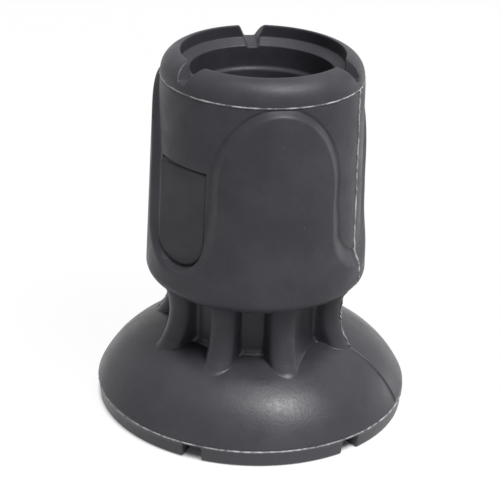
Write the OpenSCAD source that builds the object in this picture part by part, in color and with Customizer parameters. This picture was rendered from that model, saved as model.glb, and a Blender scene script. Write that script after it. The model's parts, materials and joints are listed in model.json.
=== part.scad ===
// Rubber cane tip: one moulded body with a ribbed neck and a domed, non-slip foot.
// Millimetres, +Z up. The origin is the middle of the foot's underside.
// The raised arch faces -Y, and azimuths turn from -Y toward +X.

/* [Whole part] */
// Height from the floor to the lip of the mouth
total_h = 51.6; // [51:0.2:53]
// Diameter of the foot over its moulding line
foot_d = 44.4; // [42:0.2:47]
// Diameter of the grip bore
bore_d = 19; // [18:0.25:19.5]

/* [Mouth] */
// Depth from the lip to the floor of the bore
bore_depth = 30; // [26:0.5:30.5]
// How much wider the entry is than the grip bore, per side
entry_step = 0.35; // [0.2:0.05:0.6]
// Length of the entry, below the ledge
entry_len = 3.4; // [2.5:0.1:4]
// Height of the slope from the entry down to the grip bore
entry_slope_h = 0.4; // [0.2:0.05:0.6]
// Width of the ledge inside the lip
ledge_w = 1.3; // [1:0.05:1.4]
// Depth from the lip to the outer edge of the ledge
ledge_drop = 1.7; // [1.3:0.1:2]
// Fall of the ledge toward the bore
ledge_slope_h = 0.9; // [0.5:0.1:1.1]

/* [Crown] */
// Wall between the grip bore and the pocket floors at the crown
wall_t = 4.3; // [4.2:0.05:4.5]
// Height of the crown, from its moulding line to the lip
crown_h = 3.3; // [3.2:0.05:3.6]
// Rounding of the crown's shoulder
crown_round = 3; // [2.7:0.05:3.1]
// Radius of the three round-bottomed notches in the lip
lip_notch_r = 1.35; // [1.2:0.05:1.6]
// Depth of the notches' centre line below the lip
lip_notch_drop = 0.85; // [0.5:0.05:1]

/* [Sleeve] */
// Draft of the sleeve
draft_deg = 1.42; // [1:0.02:1.6]
// Height of the raised skin over the pocket floors
relief_h = 0.88; // [0.7:0.02:0.95]
// Height of the sleeve's lower edge over the floor
sleeve_z = 19.2; // [19:0.1:19.6]
// Rounding of the sleeve's lower edge
sleeve_round = 1.8; // [1.5:0.1:1.9]

/* [Panels] */
// Half the width of an arch at the crown's radius
arch_r = 7.5; // [7.3:0.1:7.7]
// Height of an arch's rounded head
arch_head_h = 12; // [9:0.5:13]
// Draft of the arches' sides
arch_draft_deg = 22; // [15:1:24]
// Radius of a pocket's round bottom at the crown's radius
pocket_r = 7.75; // [7.7:0.05:8]
// Height of the middle of the pockets' round bottoms
pocket_z = 30.9; // [30.5:0.1:31.5]
// Draft of the pockets' round bottoms
pocket_draft_deg = 10; // [6:1:12]
// Height of the slope that leads from a pocket's floor down to the skin
pocket_slope_h = 2.3; // [1.6:0.1:2.6]

/* [Pad] */
// Height of the pad's straight top
pad_top_z = 38.2; // [36.5:0.25:39]
// Height of the pad's round bottom
pad_low_z = 23.5; // [23.4:0.1:25]
// Width of the pad
pad_w = 8.4; // [7.6:0.1:9]
// Turn of the flat face from the pocket's middle
pad_turn_deg = 9; // [6:0.5:12]
// Depth of the flat face under the pocket floor
pad_sink = 0.75; // [0.5:0.05:0.9]
// How far the pad stays under the raised skin
pad_under = 0.25; // [0.15:0.05:0.4]

/* [Mould] */
// Turn of the parting plane, with ribs and lip notches, from a pocket's middle
mould_turn_deg = -1.5; // [-6:0.5:6]
// Turn between neighbouring ribs of one mould half
rib_spread_deg = 41; // [38:0.5:43]

/* [Neck] */
// Diameter of the neck's solid core
core_d = 20; // [19:0.25:20.5]
// Width of the small step round the core's foot
core_step_w = 0.45; // [0.3:0.05:0.6]
// Height of that step over the dome
core_step_h = 0.3; // [0.2:0.05:0.4]
// Thickness of a neck rib
rib_t = 4; // [3.6:0.1:4.4]
// Radius from the axis to the ribs at the narrowest place
waist_r = 13.05; // [12.9:0.05:13.2]
// Height of the ribs' narrowest place
waist_z = 15.2; // [14.8:0.1:15.4]
// Radius of the hollow curve along a rib
rib_curve_r = 7; // [6.7:0.05:7.3]
// Outward lean of a rib's straight foot
rib_lean_deg = 30; // [27:1:32]

/* [Foot] */
// Height of the top of the dome
dome_h = 11; // [10.8:0.1:11.2]
// Radius at which the dome is level
dome_level_r = 10.3; // [10:0.1:10.6]
// Height of the moulding line round the foot
rim_h = 2.5; // [2.4:0.05:2.8]
// Lean of the rim band
rim_lean_deg = 20; // [14:1:24]
// Rounding of the rim's lower corner
rim_round = 0.5; // [0.3:0.05:0.6]

/* [Tread] */
// Depth of the tread grooves and rim notches
tread_depth = 2.1; // [1.6:0.05:2.2]
// Width of the outer tread ring on the floor
tread_edge_w = 2.8; // [2.4:0.1:3]
// Width of each groove between two rings
groove_w = 2.4; // [2:0.1:2.8]
// Width of each inner tread ring
tread_w = 2.6; // [2.2:0.1:3]
// Width of a rim notch
rim_notch_w = 2.7; // [2.2:0.1:3.2]

/* [Hidden] */

// Number of arches, pockets and lip notches round the sleeve
panel_n = 3;
// Number of notches round the rim
rim_notch_n = 6;
// Overlap that lets one shape run into another
over = 0.5;
// Bare floor left between an arch's head and the crown's moulding line
arch_gap = 0.2;
// Spread of a lip notch toward its open top, per side
lip_notch_spread = 0.2;
// Length of a rib's straight foot, most of it inside the dome
rib_foot_l = 3;
// How far a rib's drawn side stays inside its round bead
side_sink = 0.1;
// How far the ribs run up into the sleeve's underside
rib_bite = 0.4;
// How far a rib's rounded crest turns up past the waist
crest_up_deg = 75;

bore_r = bore_d / 2;
entry_r = bore_r + entry_step;
mouth_r = entry_r + ledge_w;
bore_z = total_h - bore_depth;
ledge_z = total_h - ledge_drop;
entry_z = ledge_z - ledge_slope_h;
grip_z = entry_z - entry_len;

crown_r = bore_r + wall_t;
crown_z = total_h - crown_h;
crown_arc_r = crown_r - crown_round;
crown_arc_z = total_h - sqrt(pow(crown_round, 2) - pow(mouth_r - crown_arc_r, 2));

foot_r = foot_d / 2;
core_r = core_d / 2;
panel_deg = 360 / panel_n;

// Radius of the pocket floor and of the raised skin at a height
function floor_r(z) = crown_r + (crown_z - z) * tan(draft_deg);
function skin_r(z) = floor_r(z) + relief_h;

// Outward reach of the shapes that cut the sleeve's skin
near_r = crown_r - 3;
far_r = crown_r + 3;
arch_wide = arch_r + (crown_r - near_r) * tan(arch_draft_deg);
arch_slim = arch_r - (far_r - crown_r) * tan(arch_draft_deg);
head_z = crown_z - arch_gap - arch_head_h;

// The pockets end on the skin at this height
pocket_low_z = pocket_z - pocket_r - relief_h * tan(pocket_draft_deg);
slope_top_z = pocket_low_z + pocket_slope_h;
pad_round_z = pad_low_z + pad_w / 2;
pad_face_r = floor_r(pocket_z) - pad_sink;

// The ribs of each mould half lie along its draw, and two more on the parting plane
parting_deg = panel_deg / 2 + mould_turn_deg;
rib_turns = [
  for (draw_deg = [parting_deg - 90, parting_deg + 90], turn = [-rib_spread_deg, 0, rib_spread_deg, 90])
    draw_deg + turn
];

// The dome's arc is level at its top and ends on the moulding line
dome_rise = dome_h - rim_h;
dome_arc_r = (pow(foot_r - dome_level_r, 2) + pow(dome_rise, 2)) / (2 * dome_rise);
dome_arc_z = dome_h - dome_arc_r;
corner_r = foot_r - (rim_h - rim_round) * tan(rim_lean_deg) - rim_round / cos(rim_lean_deg);

// The middle line of a rib's round bead, down to the end of its straight foot
crest_r = waist_r + rib_curve_r;
crest_line_r = rib_curve_r + rib_t / 2;
rib_end_r = crest_r - crest_line_r * cos(rib_lean_deg) + rib_foot_l * sin(rib_lean_deg);
rib_low_z = dome_h - 4 * over;
rib_h = sleeve_z + rib_bite - rib_low_z;

groove_r = corner_r - tread_edge_w;
groove_step = groove_w + tread_w;

module sleeve_section() {
  edge_z = sleeve_z + sleeve_round;
  edge_r = skin_r(edge_z) - sleeve_round / cos(draft_deg);
  touch_z = edge_z + sleeve_round * sin(draft_deg);
  intersection() {
    translate([crown_arc_r, crown_arc_z]) circle(r = crown_round, $fn = 96);
    translate([crown_arc_r, crown_arc_z]) square([crown_round, crown_round]);
  }
  square([crown_arc_r, total_h]);
  translate([edge_r, edge_z]) circle(r = sleeve_round, $fn = 64);
  polygon([
    [0, sleeve_z],
    [edge_r, sleeve_z],
    [edge_r, edge_z],
    [skin_r(touch_z), touch_z],
    [skin_r(crown_z), crown_z],
    [crown_r, crown_z],
    [crown_r, crown_arc_z],
    [0, crown_arc_z]
  ]);
}

module rim_section() {
  intersection() {
    translate([dome_level_r, dome_arc_z]) circle(r = dome_arc_r, $fn = 128);
    translate([dome_level_r, rim_h]) square([foot_r, dome_rise]);
  }
  translate([corner_r, rim_round]) circle(r = rim_round, $fn = 48);
  polygon([
    [0, 0],
    [corner_r, 0],
    [corner_r + rim_round * cos(rim_lean_deg), rim_round * (1 - sin(rim_lean_deg))],
    [foot_r, rim_h],
    [0, rim_h]
  ]);
}

module core_section() {
  square([core_r, crown_z]);
  square([core_r + core_step_w, dome_h + core_step_h]);
  square([dome_level_r, dome_h]);
}

module mouth_section() {
  polygon([
    [0, bore_z],
    [bore_r, bore_z],
    [bore_r, grip_z],
    [entry_r, grip_z + entry_slope_h],
    [entry_r, entry_z],
    [mouth_r, ledge_z],
    [mouth_r, total_h + over],
    [0, total_h + over]
  ]);
}

module tread_section() {
  // Two ring grooves and the middle recess
  for (k = [0 : 1])
    translate([groove_r - groove_w - k * groove_step, -over])
      square([groove_w, tread_depth + over]);
  translate([0, -over])
    square([groove_r - 2 * groove_step, tread_depth + over]);
}

module turned_body() {
  rotate_extrude($fn = 128)
    difference() {
      union() {
        sleeve_section();
        rim_section();
        core_section();
      }
      mouth_section();
      tread_section();
    }
}

module outward(depth_in, depth_out) {
  // Stands a flat shape up and runs it from one radius to another toward -Y
  translate([0, -depth_in, 0])
    rotate([90, 0, 0])
      linear_extrude(height = depth_out - depth_in)
        children();
}

module arch() {
  // Upright with a tall round head, narrowing outward
  translate([0, 0, head_z])
    scale([1, 1, arch_head_h / arch_r])
      rotate([90, 0, 0])
        rotate_extrude(angle = 180, $fn = 128)
          polygon([
            [0, near_r],
            [arch_wide, near_r],
            [arch_slim, far_r],
            [0, far_r]
          ]);
  linear_extrude(height = head_z)
    polygon([
      [-arch_wide, -near_r],
      [arch_wide, -near_r],
      [arch_slim, -far_r],
      [-arch_slim, -far_r]
    ]);
}

module pocket_bottom() {
  // Round bottom of a pocket, widening outward
  slope = tan(pocket_draft_deg);
  translate([0, -near_r, pocket_z])
    rotate([90, 0, 0])
      cylinder(
        r1 = pocket_r - (crown_r - near_r) * slope,
        r2 = pocket_r + (far_r - crown_r) * slope,
        h = far_r - near_r,
        $fn = 128
      );
}

module round_panels(turn) {
  for (k = [0 : panel_n - 1])
    rotate([0, 0, turn + k * panel_deg])
      children();
}

module recess() {
  // Lowers the sleeve's skin between the arches and down into the pockets
  difference() {
    intersection() {
      rotate_extrude($fn = 128)
        polygon([
          [skin_r(pocket_low_z), pocket_low_z],
          [floor_r(slope_top_z), slope_top_z],
          [crown_r, crown_z],
          [far_r, crown_z + over],
          [far_r, pocket_low_z]
        ]);
      union() {
        translate([0, 0, pocket_z]) cylinder(r = foot_r, h = total_h - pocket_z, $fn = 128);
        round_panels(panel_deg / 2) pocket_bottom();
      }
    }
    round_panels(0) arch();
  }
}

module pad_outline() {
  // Straight on top and at the sides, half-round at the bottom
  translate([0, pad_round_z]) circle(d = pad_w, $fn = 96);
  translate([-pad_w / 2, pad_round_z]) square([pad_w, pad_top_z - pad_round_z]);
}

module behind_pad_face() {
  rotate([0, 0, pad_turn_deg])
    translate([0, -pad_face_r, pocket_z])
      rotate([-draft_deg, 0, 0])
        translate([-foot_r, 0, -foot_r])
          cube([foot_d, foot_r, foot_d]);
}

module pad() {
  intersection() {
    outward(near_r, far_r) pad_outline();
    behind_pad_face();
    rotate_extrude($fn = 128)
      polygon([
        [0, sleeve_z],
        [skin_r(sleeve_z) - pad_under, sleeve_z],
        [skin_r(crown_z) - pad_under, crown_z],
        [0, crown_z]
      ]);
  }
}

module pad_cut() {
  difference() {
    outward(near_r, far_r) pad_outline();
    behind_pad_face();
  }
}

module rib() {
  // A plate whose hollow outer edge carries a round bead
  intersection() {
    translate([0, -crest_r, waist_z])
      rotate([90, 0, -90]) {
        rotate([0, 0, 180 - crest_up_deg])
          rotate_extrude(angle = crest_up_deg + rib_lean_deg, $fn = 96)
            translate([crest_line_r, 0]) circle(r = rib_t / 2, $fn = 48);
        rotate([0, 0, rib_lean_deg])
          translate([-crest_line_r, 0, 0])
            rotate([90, 0, 0])
              cylinder(d = rib_t, h = rib_foot_l, $fn = 48);
      }
    translate([-rib_t, -crest_r, rim_h]) cube([2 * rib_t, crest_r, sleeve_z + rib_bite - rim_h]);
  }
  translate([rib_t / 2, 0, 0])
    rotate([90, 0, -90])
      linear_extrude(height = rib_t)
        difference() {
          translate([core_r - over, rib_low_z]) square([rib_end_r - core_r + over, rib_h]);
          translate([crest_r, waist_z]) {
            circle(r = crest_line_r, $fn = 96);
            rotate(rib_lean_deg)
              translate([-crest_line_r, -rib_foot_l])
                square([crest_line_r, rib_foot_l]);
          }
        }
}

module drawn_side() {
  // Fills a side rib out to the flat side that slides from the mould, drawn toward -Y
  across = sin(rib_spread_deg);
  along = cos(rib_spread_deg);
  hollow_across = crest_line_r / across;
  hollow_along = crest_line_r / along;
  reach_across = (waist_r - rib_t / 2) * across + rib_t / 2 - side_sink;
  reach_along = (waist_r - rib_t / 2) * along;
  intersection() {
    difference() {
      translate([0, -rib_end_r * along, rib_low_z])
        cube([reach_across + rib_t, rib_end_r * along, rib_h]);
      translate([reach_across + hollow_across, over, waist_z])
        rotate([90, 0, 0])
          cylinder(r = hollow_across, h = crest_r, $fn = 128);
      translate([-over, -reach_along - hollow_along, waist_z])
        rotate([0, 90, 0])
          cylinder(r = hollow_along, h = crest_r, $fn = 128);
    }
    rotate([0, 0, rib_spread_deg])
      translate([0, -foot_r, 0])
        cube([foot_r, foot_r, total_h]);
  }
}

module lip_notch() {
  notch_z = total_h - lip_notch_drop;
  open_h = lip_notch_drop + over;
  outward(0, foot_r) {
    translate([0, notch_z]) circle(r = lip_notch_r, $fn = 48);
    polygon([
      [-lip_notch_r, notch_z],
      [lip_notch_r, notch_z],
      [lip_notch_r + lip_notch_spread, notch_z + open_h],
      [-lip_notch_r - lip_notch_spread, notch_z + open_h]
    ]);
  }
}

module rim_notch() {
  translate([-rim_notch_w / 2, -foot_r - over, -over])
    cube([rim_notch_w, foot_r + over - groove_r + groove_w / 2, tread_depth + over]);
}

module cane_tip() {
  color([0.16, 0.16, 0.175])
    difference() {
      union() {
        difference() {
          turned_body();
          recess();
          rotate([0, 0, -panel_deg / 2]) pad_cut();
        }
        rotate([0, 0, -panel_deg / 2]) pad();
        for (turn = rib_turns)
          rotate([0, 0, turn]) rib();
        for (half = [-90, 90], side = [0, 1])
          rotate([0, 0, parting_deg + half]) mirror([side, 0, 0]) drawn_side();
      }
      round_panels(parting_deg) lip_notch();
      for (k = [0 : rim_notch_n - 1])
        rotate([0, 0, (k + 0.5) * 360 / rim_notch_n]) rim_notch();
    }
}

cane_tip();
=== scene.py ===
import json
import math

import bpy
import numpy as np
from bpy.props import FloatProperty, FloatVectorProperty, IntProperty, PointerProperty
from mathutils import Matrix, Vector


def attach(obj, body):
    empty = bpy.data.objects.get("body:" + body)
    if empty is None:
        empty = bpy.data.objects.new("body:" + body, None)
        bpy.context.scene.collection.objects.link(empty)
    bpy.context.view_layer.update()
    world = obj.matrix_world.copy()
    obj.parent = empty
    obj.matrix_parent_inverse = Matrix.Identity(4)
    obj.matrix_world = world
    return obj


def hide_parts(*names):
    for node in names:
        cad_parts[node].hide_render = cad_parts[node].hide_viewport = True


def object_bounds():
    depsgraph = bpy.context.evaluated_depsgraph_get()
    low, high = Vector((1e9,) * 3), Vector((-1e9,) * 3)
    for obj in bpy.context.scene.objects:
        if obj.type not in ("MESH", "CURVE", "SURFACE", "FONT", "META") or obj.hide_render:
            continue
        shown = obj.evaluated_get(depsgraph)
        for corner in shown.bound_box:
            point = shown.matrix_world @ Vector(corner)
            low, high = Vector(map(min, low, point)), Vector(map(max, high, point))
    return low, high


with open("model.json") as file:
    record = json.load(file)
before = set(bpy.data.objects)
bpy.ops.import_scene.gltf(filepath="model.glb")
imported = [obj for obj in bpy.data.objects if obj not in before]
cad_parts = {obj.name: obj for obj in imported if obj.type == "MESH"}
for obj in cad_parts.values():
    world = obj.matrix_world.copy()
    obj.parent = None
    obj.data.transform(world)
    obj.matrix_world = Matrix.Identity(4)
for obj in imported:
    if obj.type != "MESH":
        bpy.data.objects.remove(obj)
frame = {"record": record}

bl_info = {
    "name": "Rubber Cane Tip",
    "version": (1, 0, 0),
    "blender": (4, 5, 0),
    "location": "View3D > Sidebar > Cane Tip",
    "description": "Builds a rubber cane tip with raised arches, a ribbed neck and a domed foot",
    "category": "Object",
}

MM = 0.001
NODE = "cane_tip"

CAD_LOW, CAD_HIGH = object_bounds()
BORE = next(m for m in frame["record"]["mounts"] if m["name"] == "cane_bore")
TOTAL_H = CAD_HIGH[2] - CAD_LOW[2]
FOOT_R = (CAD_HIGH[0] - CAD_LOW[0]) / 2
BORE_R = BORE["dims"]["r_mm"] * MM
GRIP_TOP_Z = BORE["pos_m"][2]
BORE_FLOOR_Z = GRIP_TOP_Z - BORE["dims"]["length_mm"] * MM

# Arches, pockets and lip notches each repeat three times round the axis.
PANELS = 3
POCKET_TURN = math.pi / PANELS

# Roundings, widths and heights too fine to be sizes of their own.
THREAD_SOFT = 0.05 * MM
FLASH_SOFT = 0.06 * MM
CORE_STEP_SOFT = 0.12 * MM
BORE_SOFT = 0.3 * MM
PANEL_SOFT = 0.5 * MM
RIB_SIDE_SOFT = 0.1 * MM
MOULD_STEP_W = 0.16 * MM
TOP_GROOVE_W = 0.25 * MM
DOME_THREAD = 0.04 * MM

# The neck's fillets end this far under the skins of the dome and the sleeve.
UNDER_SKIN = 0.008 * MM

# Radius of the last ring before a piece closes to a point on the axis.
PIN_R = 0.3 * MM

# Columns round the axis and rows along the outline of each piece.
CROWN_GRID = (620, 128)
SLEEVE_GRID = (620, 138)
NECK_GRID = (1000, 92)
FOOT_GRID = (760, 96)
TREAD_GRID = (720, 80)

# Rows round the sleeve's lower edge.
EDGE_ROWS = 14

# Lowest and highest share of its height that torn flash reaches, and the angle
# for each metre of height that makes the flash on the upright plane uneven too.
FLASH_LOW = 0.05
FLASH_HIGH = 1.3
FLASH_TURN = 90

# Lamps: name, turn from the camera and rise in degrees, distance and size in metres, watts.
LAMPS = (
    ("key_lamp", 47, 58, 0.55, 0.2, 3.1),
    ("top_lamp", 20, 75, 0.55, 0.3, 1.6),
    ("right_lamp", 120, 3, 0.5, 0.16, 0.16),
)

# Rays that see a white backdrop.
BACKDROP_RAYS = ("Is Camera Ray", "Is Glossy Ray", "Is Transmission Ray")

# Share of white that the floor shows, by its distance inside the foot's edge in millimetres; the
# falling shares under the foot's edge are painted shade, grading the floor from white to dark where
# the rim shades it.
FLOOR_WHITE = ((1.6, 0.02), (1.0, 0.24), (0.4, 0.4), (-0.1, 0.96))


# ---------------------------------------------------------------- sizes


def length(name, description, default_mm):
    """A length in millimetres, held in metres."""
    return FloatProperty(name=name, description=description, default=default_mm * MM,
                         min=0, soft_max=0.1, precision=6, subtype="DISTANCE", unit="LENGTH")


def angle(name, description, default_deg):
    """An angle in degrees, held in radians."""
    return FloatProperty(name=name, description=description, default=math.radians(default_deg),
                         precision=4, subtype="ANGLE", unit="ROTATION")


def factor(name, description, default):
    """A plain number."""
    return FloatProperty(name=name, description=description, default=default, precision=4)


class CrownSizes(bpy.types.PropertyGroup):
    wall: length("Wall", "Rubber between the grip bore and the crown's side", 4.3)
    height: length("Height", "From the crown's moulding line to the lip", 3.3)
    shoulder: length("Shoulder", "Rounding of the outer shoulder", 3.0)
    entry_step: length("Entry step", "How much wider the entry is than the grip bore", 0.35)
    entry_slope: length("Entry slope", "Height of the slope from entry to grip bore", 0.4)
    ledge: length("Ledge", "Width of the ledge inside the lip", 1.3)
    ledge_drop: length("Ledge drop", "Depth of the ledge's outer edge under the lip", 1.7)
    ledge_fall: length("Ledge fall", "Fall of the ledge toward the bore", 0.9)
    notch: length("Notch", "Width of a lip notch at its floor", 1.45)
    notch_drop: length("Notch drop", "Depth of a notch's floor under the lip, at the side", 2.15)
    notch_fall: factor("Notch fall", "Slope of a notch's floor toward the bore", 0.15)
    notch_spread: factor("Notch spread", "Slope of a notch's walls", 0.42)
    notch_turn: angle("Notch turn", "Turn of the notches from the upright moulding plane", -0.8)
    lip_soft: length("Lip softness", "Rounding of the sharp inner lip", 0.16)
    notch_soft: length("Notch softness", "Rounding of the notches' edges", 0.3)
    flash: length("Flash", "Height of the thin flash on the moulding line", 0.13)


class SleeveSizes(bpy.types.PropertyGroup):
    draft: angle("Draft", "Lean of the sleeve's side", 1.42)
    relief: length("Relief", "Height of the raised skin over the pocket floors", 0.88)
    low_edge: length("Lower edge", "Height of the sleeve's lower edge", 19.2)
    edge_round: length("Edge rounding", "Rounding of the lower edge", 1.8)
    arch: length("Arch width", "Half the width of an arch", 7.5)
    arch_head: length("Arch head", "Height of an arch's rounded head", 12)
    arch_gap: length("Arch gap", "Bare floor over an arch's head", 0.2)
    arch_draft: angle("Arch draft", "Lean of the arches' sides", 22)
    pocket: length("Pocket bottom", "Radius of a pocket's round bottom at its floor", 5.3)
    pocket_z: length("Pocket height", "Height of the middle of the pockets' bottoms", 30.3)
    pocket_draft: angle("Pocket draft", "Lean of the pockets' bottoms", 65)
    pocket_flare: length("Pocket flare", "Radius of the curve into the arches' sides", 6)
    crest_soft: length("Crest softness", "Rounding of the raised skin's edges", 0.25)
    root_soft: length("Root softness", "Fillet at the foot of the raised skin", 0.18)
    root_groove: length("Root groove", "Radius of the groove at the foot of the skin", 0.12)
    top_groove: length("Top groove", "Depth of the fine groove under the crown's flash", 0.14)
    seam: length("Seam", "Height of the flash on the upright moulding plane", 0.12)
    mismatch: length("Mismatch", "Step between the two halves of the mould", 0.12)
    seam_turn: angle("Seam turn", "Turn of the upright moulding plane", 58.5)


class PadSizes(bpy.types.PropertyGroup):
    top_z: length("Top", "Height of the pad's straight top", 38.2)
    low_z: length("Bottom", "Height of the pad's round bottom", 23.5)
    width: length("Width", "Width of the pad", 8.9)
    offset: angle("Offset", "Turn of the pad's outline from the pocket's middle", 0.7)
    turn: angle("Turn", "Turn of the flat face from the pocket's middle", 9)
    sink: length("Sink", "Depth of the flat face under the pocket floor", 0.75)
    under: length("Under", "How far the pad stays under the raised skin", 0.25)
    soft: length("Softness", "Rounding of the pad's edges", 0.1)
    groove: length("Groove", "Radius of the thin groove round the pad", 0.26)


class NeckSizes(bpy.types.PropertyGroup):
    core: length("Core", "Radius of the solid core", 10)
    step: length("Step", "Width of the small step round the core's foot", 0.45)
    step_rise: length("Step rise", "Height of that step over the dome", 0.3)
    rib_spread: angle("Rib spread", "Turn between neighbouring ribs of one mould half", 41)
    rib: length("Rib thickness", "Thickness of a rib", 4)
    waist: length("Waist", "Radius at the narrowest place of the ribs", 13.05)
    waist_z: length("Waist height", "Height of the ribs' narrowest place", 15.2)
    curve: length("Hollow", "Radius of the hollow curve along a rib", 7)
    lean: angle("Foot lean", "Outward lean of a rib's straight foot", 28)
    dome_soft: length("Dome fillet", "Fillet beside the ribs' feet", 0.1)
    toe_soft: length("Toe fillet", "Longer fillet in front of the ribs' feet", 0.35)
    bite: length("Bite", "How far the ribs run up into the sleeve's underside", 0.4)
    core_soft: length("Core fillet", "Fillet between ribs and core", 0.5)
    sleeve_soft: length("Sleeve fillet", "Fillet between ribs and sleeve", 0.25)
    flash: length("Flash", "Height of the flash on the ribs at the moulding plane", 0.26)


class FootSizes(bpy.types.PropertyGroup):
    dome: length("Dome height", "Height of the level top of the dome", 10.9)
    level: length("Level radius", "Radius at which the dome is level", 9.2)
    rim: length("Rim height", "Height of the foot's moulding line", 2.4)
    lean: angle("Rim lean", "Lean of the rim band", 5)
    corner: length("Rim corner", "Rounding of the rim's lower corner", 0.35)
    flash: length("Flash", "Height of the thin flash on the rim", 0.11)
    mismatch: length("Mismatch", "Step between the two halves of the mould", 0.2)


class TreadSizes(bpy.types.PropertyGroup):
    depth: length("Depth", "Depth of the grooves and rim notches", 2.1)
    edge: length("Outer ring", "Width of the outer tread ring", 2.8)
    groove: length("Groove", "Width of each groove", 2.4)
    ring: length("Ring", "Width of each inner ring", 2.6)
    notch: length("Rim notch", "Width of a rim notch", 2.7)
    notches: IntProperty(name="Rim notches", description="Number of rim notches",
                         default=6, min=2, max=24)
    soft: length("Softness", "Rounding of the tread's edges", 0.25)


class RubberLook(bpy.types.PropertyGroup):
    colour: FloatVectorProperty(name="Rubber", description="Charcoal of the moulded rubber",
                                subtype="COLOR", default=(0.0255, 0.0255, 0.0318), size=3)
    dusty: FloatVectorProperty(name="Bloom", description="Paler patches of bloom on the rubber",
                               subtype="COLOR", default=(0.036, 0.036, 0.043), size=3)
    # Paler rubber of the foot: partly scuffed wear, partly painted light standing in for light
    # bounced up from the floor onto the rim.
    scuff_and_bounce_light: FloatVectorProperty(name="Scuffed", description="Paler, scuffed rubber of the foot",
                                 subtype="COLOR", default=(0.058, 0.058, 0.066), size=3)
    # Pale torn flash: partly the paler torn rubber, partly a painted highlight along the flash
    # lines; the light specks use this colour too.
    torn_flash_highlight: FloatVectorProperty(name="Torn flash", description="Pale edge where flash was torn away",
                              subtype="COLOR", default=(0.42, 0.42, 0.43), size=3)
    rough: factor("Roughness", "Mean roughness of the satin skin", 0.46)
    polish: factor("Polish", "How much smoother the worn foot is", 0.11)
    gloss: factor("Gloss", "Strength of the skin's sheen", 0.25)


class StudioSizes(bpy.types.PropertyGroup):
    distance: length("Camera distance", "Level distance from the axis", 218.38)
    height: length("Camera height", "Height over the floor", 123.06)
    turn: angle("Camera turn", "Turn of the camera round the tip", -11.3)
    swing: angle("Camera swing", "Swing of the view off the axis", 0.201)
    pitch: angle("Camera pitch", "Downward look", 24.818)
    roll: angle("Camera roll", "Roll of the camera", 2.214)
    lens: factor("Lens", "Focal length in millimetres on a 36 mm sensor", 122.8)


GROUPS = {
    "tip_crown": CrownSizes,
    "tip_sleeve": SleeveSizes,
    "tip_pad": PadSizes,
    "tip_neck": NeckSizes,
    "tip_foot": FootSizes,
    "tip_tread": TreadSizes,
    "tip_rubber": RubberLook,
    "tip_studio": StudioSizes,
}


# ---------------------------------------------------------------- numbers


def smooth_min(a, b, k):
    """The lower of two fields, with a fillet about k wide where they cross."""
    h = np.clip(0.5 + 0.5 * (b - a) / k, 0, 1)
    return b + (a - b) * h - k * h * (1 - h)


def smooth_max(a, b, k):
    """The higher of two fields, with a rounding about k wide where they cross."""
    return -smooth_min(-a, -b, k)


def carve(body, path, radius):
    """Cuts a fine round-bottomed groove into a body, along the line where path is zero."""
    groove = np.hypot(path, np.minimum(body, 0)) - radius
    return smooth_max(body, -groove, THREAD_SOFT)


def rounded_corner(a, b, radius):
    """Where two faces meet at a corner of a true radius."""
    p = a + radius
    q = b + radius
    return np.hypot(np.maximum(p, 0), np.maximum(q, 0)) + np.minimum(np.maximum(p, q), 0) - radius


def fold(azimuth, count, turn=0.0):
    """Azimuth from the nearest of count features, the first of them at turn."""
    pitch = 2 * math.pi / count
    return (azimuth - turn + pitch / 2) % pitch - pitch / 2


def spread(low, high, count, dense=()):
    """count values from low to high, closer together near each (place, width, strength)."""
    fine = np.linspace(low, high, 6000)
    weight = np.ones_like(fine)
    for place, width, strength in dense:
        weight += strength * np.exp(-((fine - place) / width) ** 2)
    mass = np.concatenate([[0], np.cumsum((weight[1:] + weight[:-1]) / 2)])
    return np.interp(np.linspace(0, mass[-1], count), mass, fine)


def around(count, dense):
    """Azimuths round the whole axis, closer together near each (place, width, strength)."""
    copies = [
        (place + lap, width, strength)
        for place, width, strength in dense
        for lap in (-2 * math.pi, 0, 2 * math.pi)
    ]
    return spread(-math.pi, math.pi, count + 1, copies)[:-1]


def repeated(count, turn, offset, width, strength):
    """The same dense place on both sides of each of count features."""
    pitch = 2 * math.pi / count
    places = [fold(turn + k * pitch, 1) for k in range(count)]
    return [(p + side * offset, width, strength) for p in places for side in (-1, 1)]


def ragged(azimuth, seed, slow=9, fast=160, count=26):
    """A torn, uneven edge round the axis, from about 0 to about 1."""
    rng = np.random.default_rng(seed)
    waves = rng.integers(slow, fast, count)
    phases = rng.uniform(0, 2 * math.pi, count)
    total = sum(np.sin(w * azimuth + p) / (1 + w / 50) for w, p in zip(waves, phases))
    return np.clip(0.5 + total / 6, FLASH_LOW, FLASH_HIGH)


def cast(field, azimuth, start, aim, steps=70, caution=0.85):
    """Runs rays in upright planes from start toward aim until the field's surface.

    start and aim are (radius, height) arrays, and azimuth broadcasts against them.
    Each move is a little short of the field's value, because blends can overstate it.
    """
    r, z, azimuth = (np.array(v) for v in np.broadcast_arrays(start[0], start[1], azimuth))
    aim_r, aim_z = (np.broadcast_to(v, r.shape) for v in aim)
    reach = np.hypot(aim_r - r, aim_z - z)
    step_r = (aim_r - r) / reach
    step_z = (aim_z - z) / reach
    gone = np.zeros_like(r)
    for _ in range(steps):
        move = caution * field(r + step_r * gone, azimuth, z + step_z * gone)
        gone = np.clip(gone + move, 0, reach)
    return r + step_r * gone, z + step_z * gone


# ---------------------------------------------------------------- forms


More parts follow.
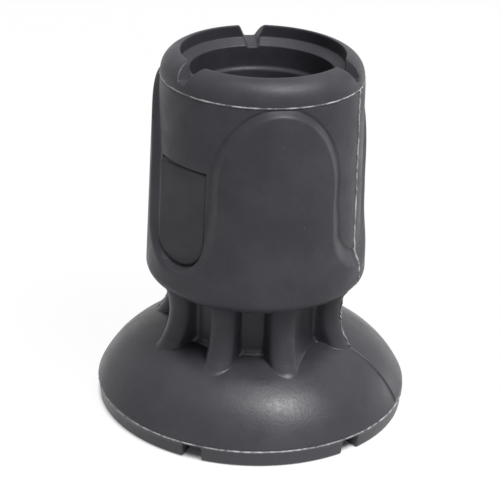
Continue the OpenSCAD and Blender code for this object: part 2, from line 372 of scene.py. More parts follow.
class Form:
    """The tip's outer shape as fields in cylinder coordinates, negative inside the rubber."""

    def __init__(self, scene):
        self.crown = scene.tip_crown
        self.sleeve = scene.tip_sleeve
        self.pad = scene.tip_pad
        self.neck = scene.tip_neck
        self.foot = scene.tip_foot
        self.tread = scene.tip_tread
        self.crown_r = BORE_R + self.crown.wall
        self.crown_z = TOTAL_H - self.crown.height
        self.entry_r = BORE_R + self.crown.entry_step
        self.mouth_r = self.entry_r + self.crown.ledge
        self.shoulder_r = self.crown_r - self.crown.shoulder
        inner = self.mouth_r - self.shoulder_r
        self.shoulder_z = TOTAL_H - math.sqrt(self.crown.shoulder ** 2 - inner ** 2)
        self.ledge_z = TOTAL_H - self.crown.ledge_drop
        self.entry_z = self.ledge_z - self.crown.ledge_fall
        self.head_z = self.crown_z - self.sleeve.arch_gap - self.sleeve.arch_head
        self.edge_z = self.sleeve.low_edge + self.sleeve.edge_round
        edge_in = self.sleeve.edge_round / math.cos(self.sleeve.draft)
        self.edge_r = self.skin_r(self.edge_z) - edge_in
        rise = self.foot.dome - self.foot.rim
        run = FOOT_R - self.foot.level
        self.dome_r = (run ** 2 + rise ** 2) / (2 * rise)
        self.dome_z = self.foot.dome - self.dome_r
        self.crest_r = self.neck.waist + self.neck.curve
        self.seams = [fold(self.sleeve.seam_turn + lap, 1) for lap in (0, math.pi)]
        self.draws = [fold(seam + math.pi / 2, 1) for seam in self.seams]
        sides = (-self.neck.rib_spread, 0, self.neck.rib_spread)
        self.ribs = self.seams + [fold(draw + side, 1) for draw in self.draws for side in sides]

    def floor_r(self, z):
        """Radius of the pocket floors, which widen downward by the draft."""
        return self.crown_r + (self.crown_z - z) * math.tan(self.sleeve.draft)

    def skin_r(self, z):
        """Radius of the raised skin."""
        return self.floor_r(z) + self.sleeve.relief

    def arches(self, r, azimuth, z):
        """Inside the upright arches, whose sides lean in as they rise from the floor."""
        turn = fold(azimuth, PANELS)
        lean = self.sleeve.arch_draft
        size = self.sleeve.arch - (r * np.cos(turn) - self.crown_r) * math.tan(lean)
        stretch = self.sleeve.arch_head / self.sleeve.arch
        away = np.hypot(r * np.sin(turn), np.maximum(z - self.head_z, 0) / stretch)
        return (away - size) * math.cos(lean)

    def pockets(self, r, azimuth, z):
        """Inside the pockets: round at the bottom, and flared upward into the arches' sides."""
        turn = fold(azimuth, PANELS, POCKET_TURN)
        lean = self.sleeve.pocket_draft
        size = self.sleeve.pocket + (r - self.floor_r(z)) * math.tan(lean)
        rise = z - self.sleeve.pocket_z
        flare = np.maximum(rise, 0) ** 2 / (2 * self.sleeve.pocket_flare)
        away = np.hypot(r * np.sin(turn), np.minimum(rise, 0))
        return (away - size - flare) * math.cos(lean)

    def pad_outline(self, r, azimuth, z):
        """Inside the pad's outline: straight top and sides, round bottom."""
        turn = fold(azimuth, 1, self.pad.offset - POCKET_TURN)
        half = self.pad.width / 2
        inside = np.hypot(r * np.sin(turn), np.minimum(z - self.pad.low_z - half, 0)) - half
        inside = np.maximum(inside, z - self.pad.top_z)
        return np.where(np.abs(turn) < math.pi / 4, inside, 5 * MM)

    def outer(self, r, azimuth, z):
        """The sleeve's skin with arches, pockets, pad, fine grooves and upright mould seam."""
        sleeve = self.sleeve
        lean = math.cos(sleeve.draft)
        floor = (r - self.floor_r(z)) * lean
        skin = (r - self.skin_r(z)) * lean
        pockets = self.pockets(r, azimuth, z)
        raised = smooth_min(self.arches(r, azimuth, z), -pockets, PANEL_SOFT)
        relief = smooth_max(skin, raised, sleeve.crest_soft)
        body = smooth_min(floor, relief, sleeve.root_soft)
        body = carve(body, raised - 0.3 * sleeve.root_groove, sleeve.root_groove)
        body = self.with_pad(body, skin, r, azimuth, z)
        body = body + sleeve.top_groove * np.exp(-((self.crown_z - z) / TOP_GROOVE_W) ** 2)
        return self.seam(body, r, azimuth, z, sleeve.mismatch, sleeve.seam)

    def with_pad(self, body, skin, r, azimuth, z):
        """Sinks the flat pad into the pocket, with a thin groove along its outline."""
        pad = self.pad
        outline = self.pad_outline(r, azimuth, z)
        face_turn = pad.turn - POCKET_TURN
        face_r = self.floor_r(z) - pad.sink
        face = (r * np.cos(azimuth - face_turn) - face_r) * math.cos(self.sleeve.draft)
        body = smooth_max(body, -np.maximum(outline, -face), pad.soft)
        block = smooth_max(smooth_max(face, skin + pad.under, pad.soft), outline, pad.soft)
        body = smooth_min(body, block, pad.soft)
        return carve(body, outline + 0.5 * pad.groove, pad.groove)

    def seam(self, body, r, azimuth, z, mismatch, thread):
        """The upright moulding plane: a small step, and a thread of flash along it."""
        turn = fold(azimuth, 1, self.sleeve.seam_turn)
        plane = r * np.sin(turn)
        fade = np.clip(np.cos(turn), 0, 1) ** 2
        body = body - mismatch * fade * np.clip(0.5 + plane / MOULD_STEP_W, 0, 1)
        height = thread * ragged(FLASH_TURN * z, 5)
        return smooth_min(body, np.hypot(plane, body) - height, THREAD_SOFT)

    def sleeve_field(self, r, azimuth, z):
        """The sleeve down to its rounded lower edge."""
        under = self.sleeve.low_edge - z
        return rounded_corner(self.outer(r, azimuth, z), under, self.sleeve.edge_round)

    def plain_sleeve(self, r, z):
        """The sleeve's lower end without its relief, drawn in above the rounded edge."""
        skin = (r - self.skin_r(z)) * math.cos(self.sleeve.draft)
        skin = skin + 0.5 * np.maximum(z - self.edge_z + 0.4 * MM, 0)
        return rounded_corner(skin, self.sleeve.low_edge - z, self.sleeve.edge_round)

    def dome_field(self, r, z):
        """The ball-shaped dome, level within its top."""
        return np.hypot(np.maximum(r - self.foot.level, 0), z - self.dome_z) - self.dome_r

    def bead_r(self, z):
        """Radius to the middle line of a rib's round bead, straight at its foot."""
        bend = self.neck.curve + self.neck.rib / 2
        lean = self.neck.lean
        straight_z = self.neck.waist_z - bend * math.sin(lean)
        rise = np.clip(z - self.neck.waist_z, straight_z - self.neck.waist_z, 0.95 * bend)
        foot = np.maximum(straight_z - z, 0) * math.tan(lean)
        return self.crest_r - np.sqrt(bend ** 2 - rise ** 2) + foot

    def rib_side(self, r, azimuth):
        """Distance from the middle plane of the nearest rib."""
        turns = np.stack([fold(azimuth, 1, place) for place in self.ribs])
        return r * np.sin(np.min(np.abs(turns), axis=0))

    def rib_field(self, r, azimuth, z):
        """Upright plates with round outer edges, and the flat drawn sides of the side ribs."""
        half = self.neck.rib / 2
        bead = self.bead_r(z)
        side = self.rib_side(r, azimuth)
        # The bead leans outward at its foot, where a level distance overstates the true one.
        slope = np.cos(np.clip((bead - self.neck.waist + half) / (5 * MM), 0, 0.5))
        past = np.maximum((np.sqrt(r ** 2 - side ** 2) - bead) * slope, 0)
        plate = np.hypot(side, past) - half
        middle = self.neck.rib_spread
        drawn = fold(azimuth, 2, self.draws[0])
        across = np.abs(r * np.sin(drawn)) - bead * math.sin(middle) - half
        along = r * np.cos(drawn) - bead * math.cos(middle)
        inner = -r * np.sin(np.abs(drawn) - middle)
        fill = np.maximum(np.maximum(across, along), inner)
        rib = smooth_min(plate, fill, RIB_SIDE_SOFT)
        return np.maximum(rib, z - self.sleeve.low_edge - self.neck.bite)

    def neck_field(self, r, azimuth, z):
        """Core and ribs, with fillets onto the dome and the sleeve, longest at the ribs' toes."""
        neck = self.neck
        step = np.maximum(r - neck.core - neck.step, z - self.foot.dome - neck.step_rise)
        core = smooth_min(r - neck.core, step, CORE_STEP_SOFT)
        body = smooth_min(self.rib_field(r, azimuth, z), core, neck.core_soft)
        body = self.seam(body, r, azimuth, z, 0, neck.flash)
        toe = np.clip(1.2 - self.rib_side(r, azimuth) / (neck.rib / 2), 0, 1)
        toe = toe * np.clip((r - neck.waist) / MM, 0, 1)
        soft = neck.dome_soft + (neck.toe_soft - neck.dome_soft) * toe
        body = smooth_min(body, self.dome_field(r, z) + UNDER_SKIN, soft)
        return smooth_min(body, self.plain_sleeve(r, z) + UNDER_SKIN, neck.sleeve_soft)

    def mouth(self, r, z):
        """Inside the open mouth: counterbore, sloped ledge, entry and grip bore."""
        slope = self.crown.ledge_fall / self.crown.ledge
        ledge = (self.entry_z + (r - self.entry_r) * slope - z) / math.hypot(1, slope)
        counterbore = np.maximum(r - self.mouth_r, ledge)
        return np.minimum(counterbore, r - self.entry_r)

    def crown_field(self, r, azimuth, z):
        """The round-shouldered crown with its open mouth, lip notches and flash."""
        crown = self.crown
        out_r = np.maximum(r - self.shoulder_r, 0)
        out_z = np.maximum(z - self.shoulder_z, 0)
        body = np.hypot(out_r, out_z) - crown.shoulder
        body = smooth_max(body, -self.mouth(r, z), crown.lip_soft)
        turn = fold(azimuth, PANELS, self.lip_notch_turn)
        rise = z - (TOTAL_H - crown.notch_drop) + crown.notch_fall * (self.crown_r - r)
        walls = np.abs(r * np.sin(turn)) - crown.notch / 2 - crown.notch_spread * rise
        near_side = np.where(np.cos(turn) > 0.5, walls, MM)
        notch = smooth_max(near_side, -rise, crown.notch_soft)
        body = smooth_max(body, -notch, crown.notch_soft)
        flash = np.hypot(r - self.crown_r, z - self.crown_z) - crown.flash * ragged(azimuth, 3)
        return smooth_min(body, flash, FLASH_SOFT)

    def foot_field(self, r, azimuth, z):
        """The dome with its mould step, and the flash that runs round the rim."""
        foot = self.foot
        body = self.seam(self.dome_field(r, z), r, azimuth, z, foot.mismatch, DOME_THREAD)
        body = np.maximum(body, r - self.rim_r)
        flash = np.hypot(r - self.rim_r, z - foot.rim) - foot.flash * ragged(azimuth, 8)
        return smooth_min(body, flash, FLASH_SOFT)

    @property
    def lip_notch_turn(self):
        """Turn of the first lip notch."""
        return self.sleeve.seam_turn + self.crown.notch_turn

    @property
    def rim_notch_turn(self):
        """Turn of the first rim notch, half a pitch from the upright moulding plane."""
        return self.sleeve.seam_turn + math.pi / self.tread.notches

    @property
    def rim_r(self):
        """Radius of the rim's moulding line, with room for the highest flash."""
        return FOOT_R - FLASH_HIGH * self.foot.flash

    @property
    def groove_r(self):
        """Radius of the outermost groove of the tread."""
        corner = self.rim_line_r(self.foot.corner) - self.foot.corner / math.cos(self.foot.lean)
        return corner - self.tread.edge

    def rim_line_r(self, z):
        """Radius of the leaning rim band."""
        return self.rim_r - (self.foot.rim - z) * math.tan(self.foot.lean)

    def rim_field(self, r, azimuth, z):
        """The rim band and the outer tread ring, with the rim notches cut through."""
        soft = self.tread.soft
        outside = (r - self.rim_line_r(z)) * math.cos(self.foot.lean)
        ring = rounded_corner(outside, -z, self.foot.corner)
        ring = rounded_corner(ring, self.groove_r - r, soft)
        count = self.tread.notches
        across = np.abs(r * np.sin(fold(azimuth, count, self.rim_notch_turn)))
        ring = rounded_corner(ring, self.tread.notch / 2 - across, soft)
        slab = np.maximum(self.tread.depth - z, outside)
        return smooth_min(ring, slab, soft)


def rounded_path(corners, radius, bends=5):
    """(radius, height) points along a path whose inner corners are rounded."""
    points = [np.array(corners[0])]
    for before, corner, after in zip(corners, corners[1:], corners[2:]):
        before, corner, after = np.array(before), np.array(corner), np.array(after)
        legs = [np.linalg.norm(before - corner), np.linalg.norm(after - corner)]
        cut = min(radius, 0.45 * min(legs))
        a = corner + (before - corner) / legs[0] * cut
        b = corner + (after - corner) / legs[1] * cut
        for t in np.linspace(0, 1, bends):
            points.append((1 - t) ** 2 * a + 2 * t * (1 - t) * corner + t ** 2 * b)
    points.append(np.array(corners[-1]))
    return np.array(points)


def rings(points, azimuth):
    """Plain rings through (radius, height) points."""
    r, z = (column[:, None] + 0 * azimuth for column in np.array(points).T)
    return r, z


def polar(centre, radius, angles):
    """Points at the given angles round a centre in the (radius, height) plane."""
    across = radius * np.cos(angles)[:, None]
    up = radius * np.sin(angles)[:, None]
    return centre[0] + across, centre[1] + up


def turned_piece(name, azimuth, parts, poles=False):
    """A closed mesh from rings of (radius, height) points round the axis.

    With poles, the first and last rings are drawn in to points on the axis.
    """
    r = np.concatenate([part[0] for part in parts])
    z = np.concatenate([part[1] for part in parts])
    points = np.stack([r * np.sin(azimuth), -r * np.cos(azimuth), z], axis=-1)
    points = points.reshape(-1, 3).tolist()
    here = np.arange(r.size).reshape(r.shape)
    low = here[:-1] if poles else here
    high = here[1:] if poles else np.roll(here, -1, axis=0)
    faces = np.stack([low, np.roll(low, -1, 1), np.roll(high, -1, 1), high], -1)
    faces = faces.reshape(-1, 4).tolist()
    if poles:
        for row, flip in ((here[0], True), (here[-1], False)):
            points.append((0, 0, float(z[0 if flip else -1].mean())))
            tip = len(points) - 1
            for a, b in zip(row.tolist(), np.roll(row, -1).tolist()):
                faces.append((tip, b, a) if flip else (a, b, tip))
    mesh = bpy.data.meshes.new(name)
    mesh.from_pydata(points, [], faces)
    if mesh.validate():
        raise RuntimeError(f"{name} has faulty faces")
    face_out(mesh)
    mesh.shade_smooth()
    piece = bpy.data.objects.new(name, mesh)
    bpy.context.scene.collection.objects.link(piece)
    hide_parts(NODE)
    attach(piece, "root")
    mesh.materials.append(rubber())
    return piece


def face_out(mesh):
    """Turns the faces outward, judged by the volume that they enclose."""
    mesh.calc_loop_triangles()
    corners = np.zeros(len(mesh.loop_triangles) * 3, np.int32)
    mesh.loop_triangles.foreach_get("vertices", corners)
    places = np.zeros(len(mesh.vertices) * 3)
    mesh.vertices.foreach_get("co", places)
    a, b, c = np.moveaxis(places.reshape(-1, 3)[corners.reshape(-1, 3)], 1, 0)
    if np.einsum("ij,ij->i", a, np.cross(b, c)).sum() < 0:
        mesh.flip_normals()


# ---------------------------------------------------------------- finish


class NodeKit:
    """Makes and links the nodes of one material or world."""

    def __init__(self, owner):
        owner.use_nodes = True
        self.nodes = owner.node_tree.nodes
        self.links = owner.node_tree.links

    def put(self, socket, value):
        """Links a socket to another one, or sets it to a number or a colour."""
        if isinstance(value, bpy.types.NodeSocket):
            self.links.new(value, socket)
        elif hasattr(value, "__len__"):
            socket.default_value = (*value, 1)
        else:
            socket.default_value = value

    def math(self, operation, *values):
        """One step of arithmetic on sockets and numbers."""
        node = self.nodes.new("ShaderNodeMath")
        node.operation = operation
        for socket, value in zip(node.inputs, values):
            self.put(socket, value)
        return node.outputs[0]

    def product(self, *values):
        """All the values multiplied together."""
        total = values[0]
        for value in values[1:]:
            total = self.math("MULTIPLY", total, value)
        return total

    def place(self):
        """The place on the object, in metres."""
        return self.nodes.new("ShaderNodeTexCoord").outputs["Object"]

    def noise(self, place, scale, detail, roughness=0.5):
        """Soft noise from 0 to 1, with scale spots to the metre."""
        node = self.nodes.new("ShaderNodeTexNoise")
        node.inputs["Scale"].default_value = scale
        node.inputs["Detail"].default_value = detail
        node.inputs["Roughness"].default_value = roughness
        self.links.new(place, node.inputs["Vector"])
        return node.outputs["Fac"]

    def remap(self, value, low, high, to_low, to_high):
        """The value moved from one range to another, and held within it."""
        node = self.nodes.new("ShaderNodeMapRange")
        self.links.new(value, node.inputs["Value"])
        for name, number in (("From Min", low), ("From Max", high),
                             ("To Min", to_low), ("To Max", to_high)):
            node.inputs[name].default_value = number
        return node.outputs["Result"]

    def mix_colour(self, share, a, b):
        """Colour a with a share of colour b."""
        node = self.nodes.new("ShaderNodeMix")
        node.data_type = "RGBA"
        self.links.new(share, node.inputs["Factor"])
        self.put(node.inputs["A"], a)
        self.put(node.inputs["B"], b)
        return node.outputs["Result"]

    def backdrop_rays(self):
        """One where the camera, gloss or glass looks at the surface, else zero."""
        path = self.nodes.new("ShaderNodeLightPath")
        seen = path.outputs[BACKDROP_RAYS[0]]
        for ray in BACKDROP_RAYS[1:]:
            seen = self.math("MAXIMUM", seen, path.outputs[ray])
        return seen

    def blend(self, share, first, second, surface):
        """Sends a mix of two shaders to the surface."""
        mix = self.nodes.new("ShaderNodeMixShader")
        self.links.new(share, mix.inputs["Fac"])
        self.links.new(first.outputs[0], mix.inputs[1])
        self.links.new(second.outputs[0], mix.inputs[2])
        self.links.new(mix.outputs[0], surface)


def rubber():
    """The one moulded rubber, made once and shared by every piece."""
    return bpy.data.materials.get("moulded_rubber") or make_rubber(bpy.context.scene)


def flash_lines(kit, form, x, y, z):
    """One along the moulding lines, where the pale torn flash and its painted highlight go, else
    zero.
    """
    radius = kit.math("SQRT", kit.math("ADD", kit.product(x, x), kit.product(y, y)))

    def level_line(height, half_width, least_radius):
        off = kit.math("ABSOLUTE", kit.math("SUBTRACT", z, height))
        line = kit.remap(off, 0.35 * half_width, half_width, 1, 0)
        return kit.product(line, kit.math("GREATER_THAN", radius, least_radius))

    crown = level_line(form.crown_z, 0.13 * MM, form.crown_r - 0.05 * MM)
    rim = level_line(form.foot.rim, 0.15 * MM, form.rim_r - 0.05 * MM)
    seam_turn = form.sleeve.seam_turn
    along_x = kit.product(x, math.cos(seam_turn))
    plane = kit.math("ADD", along_x, kit.product(y, math.sin(seam_turn)))
    upright = kit.product(
        kit.remap(kit.math("ABSOLUTE", plane), 0.05 * MM, 0.13 * MM, 1, 0),
        kit.math("GREATER_THAN", z, form.foot.dome - 0.6 * MM),
        kit.math("LESS_THAN", z, form.crown_z),
        kit.math("GREATER_THAN", radius, form.neck.core + 0.2 * MM),
    )
    return kit.math("MAXIMUM", upright, kit.math("MAXIMUM", crown, rim))


def make_rubber(scene):
    """Satin charcoal rubber with bloom, light specks, a paler foot that is partly scuffed and
    partly painted bounce light, and pale torn flash that is partly a painted highlight.
    """
    look = scene.tip_rubber
    form = Form(scene)
    foot = form.foot
    material = bpy.data.materials.new("moulded_rubber")
    kit = NodeKit(material)
    shader = kit.nodes["Principled BSDF"]
    place = kit.place()
    split = kit.nodes.new("ShaderNodeSeparateXYZ")
    kit.links.new(place, split.inputs[0])
    x, y, z = split.outputs

    broken = kit.remap(kit.noise(place, 900, 3), 0.38, 0.62, 0.2, 1)
    # The moulding lines are painted pale: partly torn rubber, partly a painted highlight standing
    # in for the light the thin flash catches.
    torn_flash_highlight = kit.product(flash_lines(kit, form, x, y, z), broken)
    bloom = kit.remap(kit.noise(place, 160, 5, 0.6), 0.38, 0.66, 0, 1)
    speck = kit.remap(kit.noise(place, 2400, 1), 0.76, 0.84, 0, 0.10)
    # Paler on the rim band and a little on the dome: partly scuffed wear, partly painted bounce
    # light from the floor.
    scuff_and_bounce_light = kit.product(
        kit.remap(z, foot.rim + 0.1 * MM, foot.rim - 0.1 * MM, 0.2, 0.8),
        kit.math("LESS_THAN", z, foot.dome + 0.2 * MM),
    )
    base = kit.mix_colour(bloom, look.colour, look.dusty)
    base = kit.mix_colour(speck, base, look.torn_flash_highlight)
    base = kit.mix_colour(scuff_and_bounce_light, base, look.scuff_and_bounce_light)
    base = kit.mix_colour(torn_flash_highlight, base, look.torn_flash_highlight)
    kit.links.new(base, shader.inputs["Base Color"])
    shader.inputs["Specular IOR Level"].default_value = look.gloss

    grain = kit.noise(place, 2600, 3, 0.6)
    patches = kit.remap(kit.noise(place, 300, 4), 0.3, 0.7, -0.06, 0.06)
    uneven = kit.math("ADD", patches, kit.remap(grain, 0.3, 0.7, -0.05, 0.05))
    worn_rough = look.rough - look.polish
    worn = kit.remap(z, foot.dome, form.sleeve.low_edge, worn_rough, look.rough)
    kit.links.new(kit.math("ADD", uneven, worn), shader.inputs["Roughness"])

    coarse = kit.product(kit.noise(place, 700, 2), 0.6)
    bump = kit.nodes.new("ShaderNodeBump")
    bump.inputs["Strength"].default_value = 0.38
    bump.inputs["Distance"].default_value = 0.06 * MM
    kit.links.new(kit.math("ADD", kit.product(grain, 0.9), coarse), bump.inputs["Height"])
    kit.links.new(bump.outputs["Normal"], shader.inputs["Normal"])
    return material


# ---------------------------------------------------------------- pieces


class TIP_OT_crown(bpy.types.Operator):
    """Make the crown, its three lip notches, the ledge and the grip bore"""
    bl_idname = "cane_tip.crown"
    bl_label = "Crown and Bore"

    def execute(self, context):
        form = Form(context.scene)
        edge = math.asin(0.8 * form.crown.notch / form.crown_r)
        columns, rows = CROWN_GRID
        azimuth = around(columns, repeated(PANELS, form.lip_notch_turn, edge, math.radians(1.8), 5))
        # Rays run inward from a circle round the crown's wall, from its foot over the lip.
        core = (form.crown_r - 1.8 * MM, form.crown_z + 0.2 * MM)
        flash = (math.radians(-6), 0.06, 5)
        lip = (math.radians(95), 0.35, 1.2)
        angles = spread(math.radians(-13), math.radians(188), rows, [flash, lip])
        surface = cast(form.crown_field, azimuth, polar(core, 3.8 * MM, angles), core)
        bore = rounded_path([
            (form.entry_r, core[1] - 0.8 * MM),
            (form.entry_r, GRIP_TOP_Z + form.crown.entry_slope),
            (BORE_R, GRIP_TOP_Z),
            (BORE_R, GRIP_TOP_Z - 8 * MM),
            (BORE_R, BORE_FLOOR_Z),
            (PIN_R, BORE_FLOOR_Z),
        ], BORE_SOFT)
        back_r = form.crown_r - 0.9 * MM
        back = [
            (PIN_R, BORE_FLOOR_Z - MM),
            (back_r, BORE_FLOOR_Z - MM),
            (back_r, form.crown_z - 0.8 * MM),
        ]
        turned_piece("crown_and_bore", azimuth,
                     [rings(back, azimuth), surface, rings(bore, azimuth)], poles=True)
        return {"FINISHED"}


class TIP_OT_sleeve(bpy.types.Operator):
    """Make the sleeve's skin with its raised arches, pockets and pad"""
    bl_idname = "cane_tip.sleeve"
    bl_label = "Sleeve"

    def execute(self, context):
        form = Form(context.scene)
        columns, rows = SLEEVE_GRID
        dense = [(seam, math.radians(0.6), 8) for seam in form.seams]
        side = math.asin(form.pad.width / 2 / form.crown_r)
        middle = form.pad.offset - POCKET_TURN
        dense += [(middle + way * side, math.radians(1), 5) for way in (-1, 1)]
        dense += repeated(PANELS, 0, math.radians(31), math.radians(2), 2)
        azimuth = around(columns, dense)
        heights = spread(form.edge_z, form.crown_z, rows, [
            (form.pad.top_z, 0.5 * MM, 4),
            (form.crown_z - 2.5 * MM, 4 * MM, 1.6),
            (form.sleeve.pocket_z - 6 * MM, 3.6 * MM, 1.6),
        ])[::-1]
        start = (form.skin_r(heights)[:, None] + MM, heights[:, None])
        side = cast(form.sleeve_field, azimuth, start, (form.crown_r - 3 * MM, heights[:, None]))
        edge = (form.edge_r, form.edge_z)
        turns = np.linspace(math.radians(-3), math.radians(-90), EDGE_ROWS)
        corner = cast(form.sleeve_field, azimuth, polar(edge, 3.4 * MM, turns), edge)
        under = [
            (form.edge_r - 0.6 * MM, form.sleeve.low_edge),
            (form.neck.core - 0.5 * MM, form.sleeve.low_edge),
            (form.neck.core - 0.5 * MM, form.sleeve.low_edge + MM),
            (form.crown_r - 2 * MM, form.edge_z + MM),
            (form.crown_r - 2 * MM, form.crown_z - 0.3 * MM),
        ]
        turned_piece("sleeve", azimuth, [side, corner, rings(under, azimuth)])
        return {"FINISHED"}


class TIP_OT_neck(bpy.types.Operator):
    """Make the neck's core and its upright ribs, with fillets onto dome and sleeve"""
    bl_idname = "cane_tip.neck"
    bl_label = "Ribbed Neck"

    def execute(self, context):
        form = Form(context.scene)
        neck = form.neck
        columns, rows = NECK_GRID
        wall = math.asin(neck.rib / 2 / neck.waist)
        sides = [rib + way * wall for rib in form.ribs for way in (-1, 1)]
        places = [(side, math.radians(2), 2.5) for side in sides]
        places += [(seam, math.radians(0.6), 8) for seam in form.seams]
        azimuth = around(columns, places)
        # Rays run toward the axis from near the middle of the ribs' hollow curve.
        bend = (form.crest_r, neck.waist_z)
        toes = (math.radians(-42), math.radians(12), 1)
        angles = math.pi - spread(math.radians(-58), math.radians(53), rows, [toes])
        start = polar(bend, neck.curve - 0.5 * MM, angles)
        surface = cast(form.neck_field, azimuth, start, polar(bend, 13 * MM, angles), steps=90)
        inside = [
            (neck.core, form.edge_z - 0.2 * MM),
            (neck.core - 3 * MM, form.edge_z - 0.4 * MM),
            (neck.core - 3 * MM, form.foot.dome - 6 * MM),
            (form.crest_r - 3 * MM, form.foot.dome - 6 * MM),
        ]
        turned_piece("ribbed_neck", azimuth, [surface, rings(inside, azimuth)])
        return {"FINISHED"}


class TIP_OT_foot(bpy.types.Operator):
    """Make the domed top of the foot with the flash round its rim"""
    bl_idname = "cane_tip.foot"
    bl_label = "Domed Foot"

    def execute(self, context):
        form = Form(context.scene)
        columns, rows = FOOT_GRID
        azimuth = around(columns, [(seam, math.radians(0.5), 8) for seam in form.seams])
        middle = (form.foot.level, form.dome_z)
        rim_turn = math.atan2(form.foot.rim - form.dome_z, FOOT_R - form.foot.level)
        turns = spread(rim_turn - 0.012, math.pi / 2, rows, [(rim_turn, 0.02, 12)])[::-1]
        reach = form.dome_r + 0.6 * MM
        surface = cast(form.foot_field, azimuth, polar(middle, reach, turns),
                       polar(middle, form.dome_r - 4 * MM, turns))
        back = [
            (form.rim_r - MM, form.foot.rim - 0.3 * MM),
            (form.neck.core - MM, form.foot.rim + MM),
            (form.neck.core - MM, form.foot.dome),
        ]
        turned_piece("domed_foot", azimuth, [surface, rings(back, azimuth)])
        return {"FINISHED"}


class TIP_OT_tread(bpy.types.Operator):
    """Make the rim band with its notches, and the ring tread under the foot"""
    bl_idname = "cane_tip.tread"
    bl_label = "Rim and Tread"

    def execute(self, context):
        form = Form(context.scene)
        tread = form.tread
        columns, rows = TREAD_GRID
        edge = math.asin(tread.notch / 2 / form.rim_r)
        places = repeated(tread.notches, form.rim_notch_turn, edge, math.radians(0.9), 5)
        azimuth = around(columns, places)
        # Rays run to the middle of the outer ring, from a square path round its open sides.
        core = (form.groove_r + tread.edge / 2, tread.depth + 0.25 * MM)
        path = np.array([
            (FOOT_R + 0.5 * MM, form.foot.rim - 0.02 * MM),
            (FOOT_R + 0.5 * MM, -0.5 * MM),
            (form.groove_r - MM, -0.5 * MM),
            (form.groove_r - MM, tread.depth - 0.1 * MM),
        ])
        lengths = np.concatenate([[0], np.cumsum(np.hypot(*np.diff(path, axis=0).T))])
        along = np.linspace(0, lengths[-1], rows)
        start = (np.interp(along, lengths, path[:, 0])[:, None],
                 np.interp(along, lengths, path[:, 1])[:, None])
        surface = cast(form.rim_field, azimuth, start, core)
        step = tread.groove + tread.ring
        outer = form.groove_r - tread.groove
        grooves = rounded_path([
            (form.groove_r - 0.8 * MM, tread.depth),
            (outer, tread.depth),
            (outer, 0),
            (outer - tread.ring, 0),
            (outer - tread.ring, tread.depth),
            (outer - step, tread.depth),
            (outer - step, 0),
            (outer - step - tread.ring, 0),
            (outer - step - tread.ring, tread.depth),
            (PIN_R, tread.depth),
        ], tread.soft)
        back = [
            (PIN_R, form.foot.rim + MM),
            (core[0], form.foot.rim + MM),
            (form.rim_r - 0.6 * MM, form.foot.rim + 0.1 * MM),
        ]
        turned_piece("rim_and_tread", azimuth,
                     [rings(back, azimuth), surface, rings(grooves, azimuth)], poles=True)
        return {"FINISHED"}


# ---------------------------------------------------------------- studio


class TIP_OT_stage(bpy.types.Operator):
    """Set the pale floor, the soft lamps, the white backdrop and the camera"""
    bl_idname = "cane_tip.stage"
    bl_label = "Stage"

    def execute(self, context):
        scene = context.scene
        studio = scene.tip_studio
        floor()
        white_world(scene)
        for name, turn, rise, distance, size, watts in LAMPS:
            toward = studio.turn + math.radians(turn)
            soft_lamp(name, toward, math.radians(rise), distance, size, watts)
        camera(scene, studio)
        scene.view_settings.view_transform = "Standard"
        return {"FINISHED"}


def floor():
    """A pale floor that shows white to the camera, with painted shade graded in under the foot's
    edge; in the open it keeps only a faint trace of the tip's shadow.
    """
    mesh = bpy.data.meshes.new("floor")
    half = 1.5
    mesh.from_pydata([(-half, -half, 0), (half, -half, 0), (half, half, 0), (-half, half, 0)],
                     [], [(0, 1, 2, 3)])
    plane = bpy.data.objects.new("floor", mesh)
    bpy.context.scene.collection.objects.link(plane)
    material = bpy.data.materials.new("pale_floor")
    kit = NodeKit(material)
    shader = kit.nodes["Principled BSDF"]
    shader.inputs["Base Color"].default_value = (0.9, 0.9, 0.9, 1)
    shader.inputs["Roughness"].default_value = 0.9
    glow = kit.nodes.new("ShaderNodeEmission")
    glow.inputs["Color"].default_value = (1, 1, 1, 1)
    glow.inputs["Strength"].default_value = 1.0
    white = kit.product(kit.backdrop_rays(), open_floor(kit))
    kit.blend(white, shader, glow, kit.nodes["Material Output"].inputs["Surface"])
    mesh.materials.append(material)


def open_floor(kit):
    """How white the floor shows: fully in the open, and hardly at all under the foot, with painted
    shade graded across the foot's edge.
    """
    from_axis = kit.nodes.new("ShaderNodeVectorMath")
    from_axis.operation = "LENGTH"
    kit.links.new(kit.place(), from_axis.inputs[0])
    ramp = kit.nodes.new("ShaderNodeValToRGB")
    kit.links.new(kit.remap(from_axis.outputs["Value"], 0, 2 * FOOT_R, 0, 1), ramp.inputs["Fac"])
    stops = ramp.color_ramp.elements
    places = [0.5 - inset * MM / (2 * FOOT_R) for inset, _ in FLOOR_WHITE]
    for place in places[1:-1]:
        stops.new(place)
    for stop, place, (_, white) in zip(stops, places, FLOOR_WHITE):
        stop.position = place
        stop.color = (white, white, white, 1)
    return ramp.outputs["Color"]


def white_world(scene):
    """An even pale room, white where the camera, gloss or glass sees it."""
    world = bpy.data.worlds.new("pale_room")
    kit = NodeKit(world)
    room = kit.nodes["Background"]
    room.inputs["Color"].default_value = (0.9, 0.93, 1.0, 1)
    room.inputs["Strength"].default_value = 0.16
    white = kit.nodes.new("ShaderNodeBackground")
    white.inputs["Color"].default_value = (1, 1, 1, 1)
    white.inputs["Strength"].default_value = 1.0
    kit.blend(kit.backdrop_rays(), room, white, kit.nodes["World Output"].inputs["Surface"])
    scene.world = world


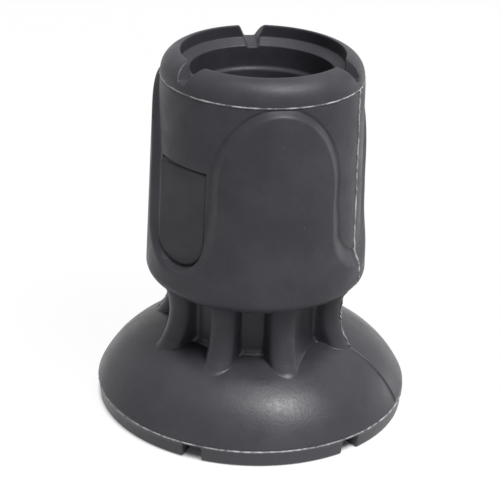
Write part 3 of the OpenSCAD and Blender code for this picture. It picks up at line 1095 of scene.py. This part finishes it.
def soft_lamp(name, turn, rise, distance, size, watts):
    """A square soft lamp that looks at the middle of the tip."""
    lamp = bpy.data.lights.new(name, "AREA")
    lamp.energy = watts
    lamp.size = size
    thing = bpy.data.objects.new(name, lamp)
    middle = Vector((0, 0, TOTAL_H / 2))
    level = distance * math.cos(rise)
    offset = Vector((level * math.sin(turn), -level * math.cos(turn), distance * math.sin(rise)))
    thing.location = middle + offset
    thing.rotation_euler = offset.to_track_quat("Z", "Y").to_euler()
    bpy.context.scene.collection.objects.link(thing)


def camera(scene, studio):
    """The camera, aimed by turn, swing, pitch and roll."""
    lens = bpy.data.cameras.new("camera")
    lens.lens = studio.lens
    lens.sensor_width = 36
    lens.clip_start = 0.01
    thing = bpy.data.objects.new("camera", lens)
    place = Vector((studio.distance * math.sin(studio.turn),
                    -studio.distance * math.cos(studio.turn), studio.height))
    aim = (Matrix.Rotation(studio.turn + studio.swing, 4, "Z")
           @ Matrix.Rotation(math.pi / 2 - studio.pitch, 4, "X")
           @ Matrix.Rotation(studio.roll, 4, "Z"))
    thing.matrix_world = Matrix.Translation(place) @ aim
    scene.collection.objects.link(thing)
    scene.camera = thing


# ---------------------------------------------------------------- add-on


STEPS = (TIP_OT_crown, TIP_OT_sleeve, TIP_OT_neck, TIP_OT_foot, TIP_OT_tread, TIP_OT_stage)


class TIP_PT_panel(bpy.types.Panel):
    """Builds each piece of the cane tip"""
    bl_idname = "TIP_PT_panel"
    bl_label = "Cane Tip"
    bl_space_type = "VIEW_3D"
    bl_region_type = "UI"
    bl_category = "Cane Tip"

    def draw(self, context):
        for step in STEPS:
            self.layout.operator(step.bl_idname)
        for name, group in GROUPS.items():
            box = self.layout.box()
            box.label(text=name)
            for key in group.__annotations__:
                box.prop(getattr(context.scene, name), key)


CLASSES = (*GROUPS.values(), *STEPS, TIP_PT_panel)


def register():
    for cls in CLASSES:
        bpy.utils.register_class(cls)
    for name, group in GROUPS.items():
        setattr(bpy.types.Scene, name, PointerProperty(type=group))


def unregister():
    for name in GROUPS:
        delattr(bpy.types.Scene, name)
    for cls in reversed(CLASSES):
        bpy.utils.unregister_class(cls)


def main():
    register()
    for step in STEPS:
        group, name = step.bl_idname.split(".")
        getattr(getattr(bpy.ops, group), name)()


if __name__ == "__main__":
    main()
